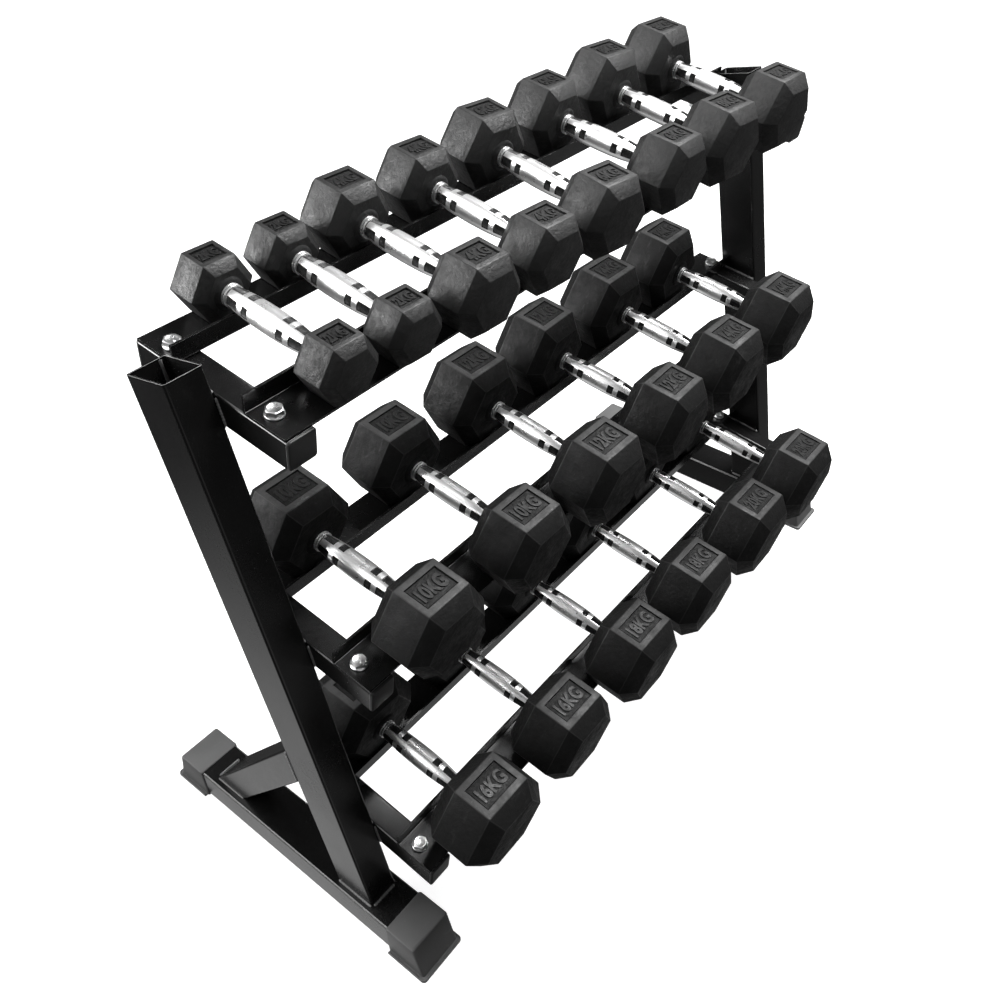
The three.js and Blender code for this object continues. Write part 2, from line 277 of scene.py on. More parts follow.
def knurled_metal(name):
    """Cut steel of the grip's knurled patches, painted near-black as shade in its fine grooves, with a random
    mottle.
    """
    finish = Finish(name, Metallic=1.0)
    groove_shade_and_grime = finish.noise(180, detail=5, roughness=0.7)
    # Both greys are far darker than steel: painted shade in the knurl's grooves, mottled at random.
    finish.colour(finish.blend(finish.spread(groove_shade_and_grime, 0.3, 0.7, 0, 1), grey(0.015), grey(0.05)))
    finish.roughness(finish.spread(groove_shade_and_grime, 0.3, 0.7, 0.52, 0.38))
    finish.bump(finish.noise(1500, detail=2), 0.15, 0.0003)
    return finish.material


def floor_paper():
    """Pale backdrop paper under the rack."""
    finish = Finish("backdrop_paper", Specular_IOR_Level=0.1, Emission_Strength=0.88)
    clouds = finish.noise(3, detail=3)
    finish.colour(finish.blend(clouds, grey(0.55), grey(0.60)))
    finish.roughness(finish.spread(clouds, 0.3, 0.7, 0.75, 0.85))
    finish.surface.inputs["Emission Color"].default_value = (1, 1, 1, 1)
    return finish.material


COAT = powder_coat("black_powder_coat", 0.003, 0.0045, 0.21, 0.27)
# Far paler than the coat: a painted highlight for the arrises of the tubes and rails.
COAT_PAINTED_HIGHLIGHT = powder_coat("black_powder_coat_painted_edge_highlight", 0.20, 0.30, 0.18, 0.24)
# Mottled far paler than the black coat: painted glints on the weld beads' ripples.
WELD_COAT_PAINTED_GLINTS = powder_coat("powder_coat_over_weld_painted_glints", 0.06, 0.26, 0.16, 0.28)
# Much paler than the coat: a painted highlight along the seam in the upright's inside corner.
SEAM_PAINTED_HIGHLIGHT = powder_coat("tube_seam_inside_painted_highlight", 0.08, 0.14, 0.35, 0.5)
PLASTIC = cap_plastic("cap_plastic", 0.085, 0.105, 0.52)
PLASTIC_EDGE = cap_plastic("cap_plastic_edge", 0.10, 0.13, 0.42)
PLUG_PLASTIC = cap_plastic("plug_plastic", 0.012, 0.018, 0.38)
RUBBER = rubber("rubber_coating", 0.006, 0.011, 0.55, specular=0.125)
# A paler, glossier copy of the rubber for the top shelf's small heads: painted light where that shelf is lit
# more brightly.
TOP_SHELF_LIT_RUBBER = rubber("rubber_coating_small_heads_painted_light", 0.008, 0.014, 0.52, specular=0.34)
# Paler rubber for the big heads' top facets: painted light where the overhead light falls on them.
TOP_FACET_LIT_RUBBER = rubber("rubber_coating_top_facets_painted_light", 0.022, 0.042, 0.58, specular=0.22)
# Paler rubber for the heads' bevelled edges: a painted highlight along them.
RUBBER_PAINTED_EDGE_HIGHLIGHT = rubber("rubber_coating_painted_edge_highlight", 0.010, 0.018, 0.50, grain=0.2, specular=0.26)
# Darker than the rubber round it: painted shade down in the sunk label panel.
RUBBER_PAD_PAINTED_SHADE = rubber("rubber_label_pad_painted_shade", 0.0015, 0.003, 0.60, grain=0.5, specular=0.2)
RUBBER_LETTERS = rubber("rubber_label_letters", 0.006, 0.012, 0.42, grain=0.15, specular=0.2)
CHROME = polished_metal("chrome_plate", 0.95, 0.26, 0.34, pits=0.02, metallic=0.86, along=0.12)
KNURL = knurled_metal("knurled_steel")
ZINC = polished_metal("bright_zinc_plate", 0.84, 0.26, 0.36, pits=0.03)


# ---- Building pieces ----

SHARP_FROM = math.radians(32)


def make_piece(name, shape, place, finishes, body, replaced=()):
    """Turns a bmesh in millimetres into a piece in metres that rides on a body."""
    bmesh.ops.recalc_face_normals(shape, faces=shape.faces)
    mesh = bpy.data.meshes.new(name)
    shape.to_mesh(mesh)
    shape.free()
    mesh.transform(place @ TO_METRES)
    for finish in finishes:
        mesh.materials.append(finish)
    mesh.shade_smooth()
    mesh.set_sharp_from_angle(angle=SHARP_FROM)
    piece = bpy.data.objects.new(name, mesh)
    bpy.context.scene.collection.objects.link(piece)
    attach(piece, body)
    if replaced:
        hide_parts(*replaced)
    return piece


def middle(node):
    low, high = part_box(node)
    return (low + high) / 2


def ring_of(shape, points):
    return [shape.verts.new(point) for point in points]


def skin(shape, rings, material=0):
    """Joins each ring of vertices to the next with quads."""
    for first, second in zip(rings, rings[1:]):
        for i in range(len(first)):
            j = (i + 1) % len(first)
            face = shape.faces.new((first[i], first[j], second[j], second[i]))
            face.material_index = material


def loft(shape, outlines, material=0):
    """A closed solid through outlines of equal point count, with both ends filled."""
    rings = [ring_of(shape, outline) for outline in outlines]
    skin(shape, rings, material=material)
    for ring in (rings[0], rings[-1]):
        shape.faces.new(ring).material_index = material


CORNERS = ((1, 1), (-1, 1), (-1, -1), (1, -1))


def rounded_outline(half_width, half_depth, radius, steps=4):
    """Points around a rectangle with rounded corners."""
    points = []
    for quarter, (sx, sy) in enumerate(CORNERS):
        for step in range(steps + 1):
            angle = math.pi / 2 * (quarter + step / steps)
            points.append((sx * (half_width - radius) + radius * math.cos(angle),
                           sy * (half_depth - radius) + radius * math.sin(angle)))
    return points


def lathe(shape, profile, sides):
    """A turned solid about Z from (radius, height) points."""
    turns = [2 * math.pi * i / sides for i in range(sides)]
    loft(shape, [[(radius * math.cos(turn), radius * math.sin(turn), height) for turn in turns]
                 for radius, height in profile])


def absorb(shape, part, matrix):
    """Adds another bmesh to a shape, moved by a matrix."""
    bmesh.ops.transform(part, matrix=matrix, verts=part.verts)
    mesh = bpy.data.meshes.new("absorbed")
    part.to_mesh(mesh)
    part.free()
    shape.from_mesh(mesh)
    bpy.data.meshes.remove(mesh)


# ---- Carried-over CAD nodes: welded tubes and rails ----

ARRIS_WIDTH = 0.5


def dress_node(name, sharpest=50):
    """Softens a CAD node's arrises over so many degrees and gives it the powder coat, with a painted
    highlight along them.
    """
    node = frame["nodes"][name]
    node.data.materials.clear()
    node.data.materials.append(COAT)
    node.data.materials.append(COAT_PAINTED_HIGHLIGHT)
    weld = node.modifiers.new("weld", "WELD")
    weld.merge_threshold = 1e-5
    bevel = node.modifiers.new("arris", "BEVEL")
    bevel.width = ARRIS_WIDTH * MM
    bevel.segments = 2
    bevel.limit_method = "ANGLE"
    bevel.angle_limit = math.radians(sharpest)
    # The bevel faces take the paler coat, a painted highlight along each arris.
    bevel.material = 1
    normals = node.modifiers.new("normals", "WEIGHTED_NORMAL")
    normals.keep_sharp = False
    node.data.shade_smooth()


for side in SIDES:
    for part in ("upright", "brace"):
        dress_node(f"{part}_{side}")
    dress_node(f"base_tube_{side}", sharpest=12)
    for tier in TIERS:
        dress_node(f"shelf_arm_{tier}_{side}")
for tier in TIERS:
    for row in BOLT_ROWS:
        dress_node(f"rail_{tier}_{row}")


# ---- Places of the side frames and shelves, from the CAD nodes ----

def side_place(side):
    centre = middle(f"base_tube_{side}")
    return Matrix.Translation((centre.x, centre.y - (BASE_FRONT + BASE_REAR) / 2 * MM, 0))


def shelf_place(tier):
    tilt = Matrix.Rotation(SHELF_TILT, 4, "X")
    arm_middle = Vector((-ARM_CENTRE, (ARM_START + ARM_END) / 2, -ARM_SIZE / 2)) * MM
    return Matrix.Translation(middle(f"shelf_arm_{tier}_left") - tilt @ arm_middle) @ tilt


# ---- Foot caps ----

def flange_outline(inset, height):
    """The floor flange's outline: it stands out on three sides, with round outer corners."""
    half = CAP_HALF_WIDTH + FLANGE_OVERHANG - inset
    front = CAP_TOE - FLANGE_OVERHANG + inset
    radius = FLANGE_CORNER - inset
    points = [(half, FLANGE_INNER_END, height)]
    for corner in ((half - radius, 0), (-half + radius, -90)):
        for step in range(7):
            angle = math.radians(corner[1] - 15 * step)
            points.append((corner[0] + radius * math.cos(angle),
                           front + radius + radius * math.sin(angle), height))
    points.append((-half, FLANGE_INNER_END, height))
    return points


def cap_section(height, inset=0.0):
    """One level of the cap's body. Its outer end flares towards the floor."""
    front = CAP_TOE + (CAP_OUTER_END - CAP_TOE) * height / CAP_TOP + inset
    rear = CAP_INNER_END - inset
    half = CAP_HALF_WIDTH - inset
    radius = CAP_CORNER
    points = []
    for x, y, start in ((half, rear, 0), (-half, rear, 90), (-half, front, 180), (half, front, 270)):
        for step in range(4):
            angle = math.radians(start + 30 * step)
            along_x = x - math.copysign(radius, x) + radius * math.cos(angle)
            along_y = y + (radius if y == front else -radius) + radius * math.sin(angle)
            points.append((along_x, along_y, height))
    return points


def cap_shape():
    shape = bmesh.new()
    levels = [(1, 0), (20, 0), (40, 0), (CAP_TOP - 2, 0), (CAP_TOP - 1.2, 0.2),
              (CAP_TOP - 0.5, 0.7), (CAP_TOP, 1.8)]
    loft(shape, [cap_section(height, inset) for height, inset in levels])
    rim = [(0, 0.8), (0.8, 0), (3.6, 0), (4.5, 0.3), (FLANGE_HEIGHT, 0.9), (FLANGE_HEIGHT, 1.6), (3.8, 2.4)]
    loft(shape, [flange_outline(inset, height) for height, inset in rim], material=1)
    return shape


def socket_shape():
    """The tube's room inside a cap."""
    shape = bmesh.new()
    half = BASE_WIDTH / 2 + GAP
    low = BASE_TOP - BASE_HEIGHT - GAP
    high = BASE_TOP + GAP
    loft(shape, [[(half, y, low), (half, y, high), (-half, y, high), (-half, y, low)]
                 for y in (BASE_FRONT - GAP, CAP_INNER_END + 5)])
    return shape


def plain_object(name, shape):
    bmesh.ops.recalc_face_normals(shape, faces=shape.faces)
    mesh = bpy.data.meshes.new(name)
    shape.to_mesh(mesh)
    shape.free()
    made = bpy.data.objects.new(name, mesh)
    bpy.context.scene.collection.objects.link(made)
    return made


def cut_shape(shape, tool_shape):
    """A bmesh with another one's volume taken out of it."""
    body = plain_object("cut_body", shape)
    tool = plain_object("cut_tool", tool_shape)
    boolean = body.modifiers.new("cut", "BOOLEAN")
    boolean.operation = "DIFFERENCE"
    boolean.solver = "EXACT"
    boolean.use_self = True
    boolean.object = tool
    graph = bpy.context.evaluated_depsgraph_get()
    result = bmesh.new()
    result.from_mesh(body.evaluated_get(graph).to_mesh())
    bpy.data.objects.remove(body)
    bpy.data.objects.remove(tool)
    return result


for side in SIDES:
    for end, facing in (("front", Matrix.Identity(4)), ("rear", Matrix.Rotation(math.pi, 4, "Z"))):
        shift = (BASE_FRONT + BASE_REAR) * MM if end == "rear" else 0
        place = side_place(side) @ Matrix.Translation((0, shift, 0)) @ facing
        make_piece(f"foot_cap_{end}_{side}.skin", cut_shape(cap_shape(), socket_shape()), place,
                   [PLASTIC, PLASTIC_EDGE], "rack", [f"foot_cap_{end}_{side}"])


# ---- Arm plugs, at both ends of each shelf arm ----

def plug_shape():
    """A plug along +Y whose outer face is at y = 0, with rounded edges and a stub inside the arm."""
    shape = bmesh.new()
    half = ARM_SIZE / 2
    outlines = []
    for y, inset in ((0, 2.2), (0.25, 1.2), (0.8, 0.5), (1.6, 0.1), (PLUG_THICKNESS, 0)):
        outline = rounded_outline(half - inset, half - inset, ARM_CORNER)
        outlines.append([(x, y, z) for x, z in outline])
    loft(shape, outlines)
    stub = half - WALL - 1
    loft(shape, [[(x, y, z) for x, z in rounded_outline(stub, stub, 2)] for y in (PLUG_THICKNESS - 0.5, 14)])
    return shape


for tier in TIERS:
    for side, sign in SIDES.items():
        front_centre = (sign * ARM_CENTRE * MM, (ARM_START - GAP - PLUG_THICKNESS) * MM, -ARM_SIZE / 2 * MM)
        rear_centre = (sign * ARM_CENTRE * MM, (ARM_END + GAP + PLUG_THICKNESS) * MM, -ARM_SIZE / 2 * MM)
        make_piece(f"arm_plug_{tier}_{side}.skin", plug_shape(),
                   shelf_place(tier) @ Matrix.Translation(front_centre),
                   [PLUG_PLASTIC], "rack", [f"arm_plug_{tier}_{side}"])
        make_piece(f"arm_plug_rear_{tier}_{side}", plug_shape(),
                   shelf_place(tier) @ Matrix.Translation(rear_centre) @ Matrix.Rotation(math.pi, 4, "Z"),
                   [PLUG_PLASTIC], "rack")


# ---- Bolts ----

def hexagon_block(shape, foot, height, both_sides=False, spin=0.0):
    """A hexagon with the curved corner chamfers of a turned bolt head or nut."""
    sides = 48
    flat = HEX_ACROSS_FLATS / 2
    circle = flat * 0.95

    def reach(angle):
        return flat / math.cos((angle + math.pi / 6) % (math.pi / 3) - math.pi / 6)

    def level(radius_of, height_of):
        outline = []
        for i in range(sides):
            angle = 2 * math.pi * i / sides
            radius = radius_of(reach(angle))
            outline.append((radius * math.cos(angle + spin), radius * math.sin(angle + spin),
                            height_of(reach(angle))))
        return outline

    slope = math.tan(math.radians(30))
    lower = (lambda r: foot + (r - circle) * slope) if both_sides else (lambda r: foot)
    outlines = [
        level(lambda r: circle, lambda r: foot),
        level(lambda r: r, lower),
        level(lambda r: r, lambda r: foot + height - (r - circle) * slope),
        level(lambda r: circle, lambda r: foot + height),
        level(lambda r: circle * 0.82, lambda r: foot + height),
        level(lambda r: circle * 0.74, lambda r: foot + height - 0.35),
    ]
    loft(shape, outlines)


def bolt_shape(spin):
    shape = bmesh.new()
    head_foot = WASHER_FOOT + WASHER_THICKNESS
    washer = [(WASHER_RADIUS - 0.4, WASHER_FOOT), (WASHER_RADIUS, WASHER_FOOT + 0.4),
              (WASHER_RADIUS, head_foot - 0.4), (WASHER_RADIUS - 0.4, head_foot)]
    lathe(shape, washer, 48)
    hexagon_block(shape, head_foot, HEX_HEIGHT, spin=spin)
    for mark in range(3):
        angle = spin + math.radians(120 * mark + 20)
        dash = bmesh.new()
        head_top = head_foot + HEX_HEIGHT
        loft(dash, [[(x, y, head_top + z)
                     for x, y in rounded_outline(1.7 - inset, 0.45 - inset * 0.6, 0.2, 2)]
                    for z, inset in ((-0.5, 0), (-0.15, 0), (0, 0.2))])
        absorb(shape, dash, Matrix.Rotation(angle, 4, "Z") @ Matrix.Translation((3.6, 0, 0)))
    nut_top = -ARM_SIZE - GAP
    hexagon_block(shape, nut_top - NUT_HEIGHT, NUT_HEIGHT, both_sides=True, spin=spin + 0.4)
    thread = [(BOLT_RADIUS - 0.6, nut_top - NUT_HEIGHT - BOLT_TAIL)]
    for groove in range(4):
        base = nut_top - NUT_HEIGHT - BOLT_TAIL + 0.5 + groove * 1.1
        thread += [(BOLT_RADIUS, base), (BOLT_RADIUS - 0.7, base + 0.55)]
    thread.append((BOLT_RADIUS - 0.7, head_foot))
    lathe(shape, thread, 24)
    return shape


turned = 0
for tier in TIERS:
    for row, y in BOLT_ROWS.items():
        for side, sign in SIDES.items():
            turned += 1
            place = shelf_place(tier) @ Matrix.Translation((sign * ARM_CENTRE * MM, y * MM, 0))
            make_piece(f"bolt_{tier}_{row}_{side}.skin", bolt_shape(math.radians(23 * turned)), place,
                       [ZINC], "rack", [f"bolt_{tier}_{row}_{side}"])


# ---- Weld beads ----

def bead(shape, path, radius, pitch=3.4, sides=8):
    """A rippled weld bead along a path of points."""
    points = [Vector(point) for point in path]
    walk = []
    travelled = 0.0
    for start, end in zip(points, points[1:]):
        length = (end - start).length
        steps = max(2, round(length / 0.85))
        for i in range(steps):
            share = i / steps
            walk.append((start.lerp(end, share), (end - start).normalized(), travelled + length * share))
        travelled += length
    walk.append((points[-1], (points[-1] - points[-2]).normalized(), travelled))
    outlines = []
    for at, along, distance in walk:
        ripple = 1 + 0.17 * math.sin(2 * math.pi * distance / pitch) + 0.07 * math.sin(distance * 0.83)
        taper = min(1, 0.35 + min(distance, travelled - distance) / 3)
        if abs(along.z) > 0.9:
            across = along.orthogonal().normalized()
        else:
            across = along.cross(Vector((0, 0, 1))).normalized()
        up = across.cross(along)
        size = radius * ripple * taper
        outlines.append([
            at + (across * math.cos(2 * math.pi * i / sides) + up * math.sin(2 * math.pi * i / sides)) * size
            for i in range(sides)
        ])
    loft(shape, outlines)


def frame_weld_shape():
    """Beads round the foot of the upright, the foot of the brace and the brace's head."""
    shape = bmesh.new()
    z = BASE_TOP + 0.8
    half = UPRIGHT_WIDTH / 2
    rear = UPRIGHT_DEPTH / math.cos(UPRIGHT_LEAN)
    bead(shape, [(-half + 3, -0.6, z), (half - 3, -0.6, z)], 2.2)
    bead(shape, [(half + 0.5, 2, z), (half + 0.5, rear - 2, z)], 2.0)
    bead(shape, [(-half - 0.5, rear - 2, z), (-half - 0.5, 2, z)], 2.0)
    bead(shape, [(half - 3, rear + 0.6, z), (-half + 3, rear + 0.6, z)], 2.0)
    brace_half = BRACE_WIDTH / 2
    brace_rear = BRACE_FOOT + BRACE_DEPTH / math.sin(BRACE_PITCH)
    bead(shape, [(-brace_half + 3, BRACE_FOOT - 0.4, z), (brace_half - 3, BRACE_FOOT - 0.4, z)], 1.5)
    bead(shape, [(brace_half - 3, brace_rear + 0.4, z), (-brace_half + 3, brace_rear + 0.4, z)], 1.5)
    for sign in (-1, 1):
        x = sign * (brace_half + 0.4)
        bead(shape, [(x, BRACE_FOOT + 2, z), (x, brace_rear - 2, z)], 1.4)
    return shape


def brace_head_weld_shape():
    """Beads across the upright's rear face, above and below the brace's head."""
    shape = bmesh.new()
    face_foot = Vector((0, UPRIGHT_DEPTH / math.cos(UPRIGHT_LEAN), BASE_TOP))
    up_face = Vector((0, math.sin(UPRIGHT_LEAN), math.cos(UPRIGHT_LEAN)))
    up_brace = Vector((0, -math.cos(BRACE_PITCH), math.sin(BRACE_PITCH)))
    half = BRACE_WIDTH / 2 - 3
    ends = []
    for foot_y in (BRACE_FOOT, BRACE_FOOT + BRACE_DEPTH / math.sin(BRACE_PITCH)):
        foot = Vector((0, foot_y, BASE_TOP))
        offset = foot - face_foot
        # Where the brace's edge line meets the upright's rear face.
        across = up_face.y * up_brace.z - up_face.z * up_brace.y
        along = (offset.y * up_face.z - offset.z * up_face.y) / across
        ends.append(foot + up_brace * along)
    for end, shift in zip(ends, (-0.6, 0.6)):
        at = end + up_face * shift
        bead(shape, [(-half, at.y, at.z), (half, at.y, at.z)], 2.0)
    for x in (-BRACE_WIDTH / 2 - 0.4, BRACE_WIDTH / 2 + 0.4):
        low = ends[0] + up_face * 2.5
        high = ends[1] - up_face * 2.5
        bead(shape, [(x, low.y, low.z), (x, high.y, high.z)], 1.8)
    return shape


def arm_weld_shape(side_sign, upright_front):
    """Beads where an arm's outer side meets the upright's inner side, in shelf axes."""
    shape = bmesh.new()
    x = side_sign * (RAIL_END + GAP / 2)
    lean = UPRIGHT_LEAN + SHELF_TILT
    depth = UPRIGHT_DEPTH / math.cos(lean)

    def across(z):
        return upright_front + z * math.tan(lean)

    for z, rise in ((0, 0.4), (-ARM_SIZE, -0.4)):
        front = across(z)
        bead(shape, [(x, front + 2.5, z + rise), (x, front + depth - 2.5, z + rise)], 1.9)
    for offset in (-0.5, depth + 0.5):
        bead(shape, [(x, across(-3) + offset, -3), (x, across(-ARM_SIZE + 3) + offset, -ARM_SIZE + 3)], 1.8)
    return shape


def seam_shape():
    """The tube's own welded seam, a low rib down the inside of the upright."""
    shape = bmesh.new()
    x = UPRIGHT_WIDTH / 2 - WALL - 6
    y = UPRIGHT_DEPTH - WALL
    section = [(-2.0, 0.15), (-1.3, -0.5), (0, -0.8), (1.3, -0.5), (2.0, 0.15)]
    outlines = []
    steps = 160
    for i in range(steps + 1):
        z = 20 + (UPRIGHT_LENGTH - 22) * i / steps
        swell = 1 + 0.12 * math.sin(i * 1.7) + 0.08 * math.sin(i * 0.53)
        outlines.append([(x + sx * swell, y + sy * swell, z) for sx, sy in section])
    loft(shape, outlines)
    return shape


for side, sign in SIDES.items():
    make_piece(f"frame_welds_{side}", frame_weld_shape(), side_place(side), [WELD_COAT_PAINTED_GLINTS],
               "rack")
    make_piece(f"brace_head_welds_{side}", brace_head_weld_shape(), side_place(side), [WELD_COAT_PAINTED_GLINTS],
               "rack")
    lean = Matrix.Translation((0, 0, BASE_TOP * MM)) @ Matrix.Rotation(-UPRIGHT_LEAN, 4, "X")
    make_piece(f"upright_seam_{side}", seam_shape(), side_place(side) @ lean, [SEAM_PAINTED_HIGHLIGHT],
               "rack")
    for tier in TIERS:
        # The upright's front face crosses the shelf's own z = 0 plane this far behind the arms' front ends.
        origin = shelf_place(tier).inverted() @ side_place(side) @ Vector((0, 0, BASE_TOP * MM))
        up_face = Vector((0, math.sin(UPRIGHT_LEAN), math.cos(UPRIGHT_LEAN)))
        direction = shelf_place(tier).to_3x3().inverted() @ up_face
        crossing = (origin - direction * (origin.z / direction.z)).y / MM
        make_piece(f"arm_welds_{tier}_{side}", arm_weld_shape(sign, crossing), shelf_place(tier), [WELD_COAT_PAINTED_GLINTS],
                   "rack")


# ---- Dumbbell heads ----

# A head's materials after its sides' own, in order.
EDGE_FINISH, PANEL_FINISH, LETTER_FINISH, TOP_FINISH = range(1, 5)
LETTER_DEPTH = 1.3
PANEL_DEPTH = 1.6
PANEL_GROOVE = 0.6


def label_mesh(text):
    """Raised letters as a mesh, in em units, centred on the origin."""
    curve = bpy.data.curves.new("label", "FONT")
    curve.body = text
    curve.align_x = "CENTER"
    curve.align_y = "CENTER"
    curve.offset = 0.035
    curve.extrude = 0.03
    curve.bevel_depth = 0.012
    curve.bevel_resolution = 1
    curve.resolution_u = 4
    lettering = bpy.data.objects.new("label", curve)
    bpy.context.scene.collection.objects.link(lettering)
    graph = bpy.context.evaluated_depsgraph_get()
    mesh = bpy.data.meshes.new_from_object(lettering.evaluated_get(graph))
    bpy.data.objects.remove(lettering)
    return mesh


def add_label(shape, text, width, length, floor, centre_y):
    """Raised letters on a panel's floor. They read along +X, with their tops to the rear."""
    mesh = label_mesh(text)
    low = Vector([min(v.co[i] for v in mesh.vertices) for i in range(3)])
    high = Vector([max(v.co[i] for v in mesh.vertices) for i in range(3)])
    size = high - low
    letters = bmesh.new()
    letters.from_mesh(mesh)
    bpy.data.meshes.remove(mesh)
    for face in letters.faces:
        face.material_index = LETTER_FINISH
    centre = (low + high) / 2
    stretch = Matrix.Diagonal((width / size.x, length / size.y, LETTER_DEPTH * 2 / size.z, 1))
    absorb(shape, letters, Matrix.Translation((0, centre_y, floor)) @ stretch @ Matrix.Translation(-centre))


def panel_rings(shape, half_x, half_y, centre_y, top):
    """Nested rectangles of a sunk label panel: its brim, a groove round its floor, and the floor's edge."""
    groove = -PANEL_DEPTH - PANEL_GROOVE
    levels = ((0, 0), (0.6, groove), (1.6, groove), (2.0, -PANEL_DEPTH))
    rings = []
    for inset, drop in levels:
        rings.append(ring_of(shape, [
            (sx * (half_x - inset), centre_y + sy * (half_y - inset), top + drop) for sx, sy in CORNERS
        ]))
    return rings


def head_shape(kg, end):
    """A hexagonal head on its flat, chamfered at both ends. end is -1 in front, 1 at the rear."""
    across_flats, flat_length, grip = SIZES[kg]
    corner = across_flats / math.sqrt(3)
    chamfer = across_flats * CHAMFER_LENGTH_SHARE
    inner = grip / 2
    stations = ((inner, CHAMFER_FACE_SHARE), (inner + chamfer, 1), (inner + chamfer + flat_length, 1),
                (inner + 2 * chamfer + flat_length, CHAMFER_FACE_SHARE))
    shape = bmesh.new()
    rings = []
    for y, share in stations:
        rings.append(ring_of(shape, [
            (corner * share * math.cos(math.radians(60 * k)), end * y,
             corner * share * math.sin(math.radians(60 * k)))
            for k in range(6)
        ]))
    hexagon = [vertex for ring in rings for vertex in ring]
    for index, (first, second) in enumerate(zip(rings, rings[1:])):
        for k in range(6):
            # The middle row's top flat is left open for the label panel.
            if index == 1 and k == 1:
                continue
            shape.faces.new((first[k], first[(k + 1) % 6], second[(k + 1) % 6], second[k]))
    shape.faces.new(rings[0])
    shape.faces.new(rings[-1])
    centre_y = end * (inner + chamfer + flat_length / 2)
    top = across_flats / 2
    half_x = corner / 2 * 0.77
    half_y = flat_length / 2 * 0.68
    panel = panel_rings(shape, half_x, half_y, centre_y, top)
    around = [rings[1][1], rings[1][2], rings[2][2], rings[2][1]]

    def bearing(vertex):
        return math.atan2(vertex.co.y - centre_y, vertex.co.x)

    around.sort(key=bearing)
    inside = sorted(panel[0], key=bearing)
    for i in range(4):
        j = (i + 1) % 4
        frame_side = shape.faces.new((around[i], around[j], inside[j], inside[i]))
        # The frame round the label panel takes the top finish, painted light on the big heads.
        frame_side.material_index = TOP_FINISH
    # The panel's groove and floor take the pad rubber, darkened as painted shade in the recess.
    skin(shape, panel, material=PANEL_FINISH)
    shape.faces.new(panel[-1]).material_index = PANEL_FINISH
    arris = [edge for edge in shape.edges if edge.verts[0] in hexagon and edge.verts[1] in hexagon]
    # The bevel faces take the edge finish, paler rubber painted as a highlight along each arris.
    bmesh.ops.bevel(shape, geom=arris, offset=0.5 + across_flats * 0.003, offset_type="OFFSET", segments=2,
                    profile=0.5, affect="EDGES", material=EDGE_FINISH, clamp_overlap=True)
    add_label(shape, f"{kg}KG", half_x * 2 * 0.80, half_y * 2 * 0.60, top - PANEL_DEPTH, centre_y)
    add_boss(shape, across_flats, inner, end)
    return shape


def add_boss(shape, across_flats, inner, end):
    """The round swelling where the handle enters the head."""
    radius = COLLAR_RADIUS + 1.5 + across_flats * 0.05
    boss = bmesh.new()
    profile = [(radius + 1.5, -0.4), (radius, 0.5), (radius - 1.2, 1.7), (radius - 3.2, 2.4),
               (COLLAR_RADIUS - 0.6, 2.6)]
    lathe(boss, [(r, -z) for r, z in profile], 40)
    facing = Matrix.Rotation(-math.pi / 2 * end, 4, "X")
    absorb(shape, boss, Matrix.Translation((0, end * inner, 0)) @ facing)


# ---- Dumbbell handles ----

HANDLE_SIDES = 72
# Around the handle, in sides: a patch, a patch and its gap, and how far the pattern is turned.
PATCH_SPAN = 10
PATCH_PERIOD = 18
PATCH_TURN = 7
# Along the handle: how far from a head each band of patches starts and ends.
PATCHES = ((9.5, 27.0), (34.5, 44.0))
KNURL_PITCH = 1.45
KNURL_DEPTH = 0.4
KNURL_RISE = 0.05
GROOVE_RADIUS = COLLAR_RADIUS - 1.8
NECK_LENGTH = 10
BARREL_CURVE = 2.4


def barrel_radius(y, half):
    share = min(1, abs(y) / (half - NECK_LENGTH))
    return NECK_RADIUS + (HANDLE_RADIUS - NECK_RADIUS) * (1 - share ** BARREL_CURVE)


def handle_stations(half):
    """From middle to end: distance from the middle, radius or None for the barrel's, band number or None."""
    stations = []
    middle_from = half - PATCHES[1][1]
    steps = 8
    stations += [(middle_from * i / steps, None, None) for i in range(steps)]
    for number, (near, far) in ((1, PATCHES[1]), (0, PATCHES[0])):
        length = far - near
        rows = round(length / KNURL_PITCH)
        for i in range(rows + 1):
            stations.append((half - far + length * i / rows, None, number))
        if number == 1:
            gap = near - PATCHES[0][1]
            stations += [(half - near + gap * i / 3, None, None) for i in (1, 2)]
    collar = [(9.2, NECK_RADIUS), (9.0, GROOVE_RADIUS), (8.0, GROOVE_RADIUS), (7.8, COLLAR_RADIUS - 0.3),
              (7.4, COLLAR_RADIUS), (6.3, COLLAR_RADIUS), (5.9, COLLAR_RADIUS - 0.3), (5.7, GROOVE_RADIUS),
              (4.5, GROOVE_RADIUS), (4.3, COLLAR_RADIUS - 0.3), (3.9, COLLAR_RADIUS), (2.8, COLLAR_RADIUS),
              (2.4, COLLAR_RADIUS - 0.3), (2.2, GROOVE_RADIUS), (-3, GROOVE_RADIUS)]
    stations += [(half - distance, radius, None) for distance, radius in collar]
    return stations


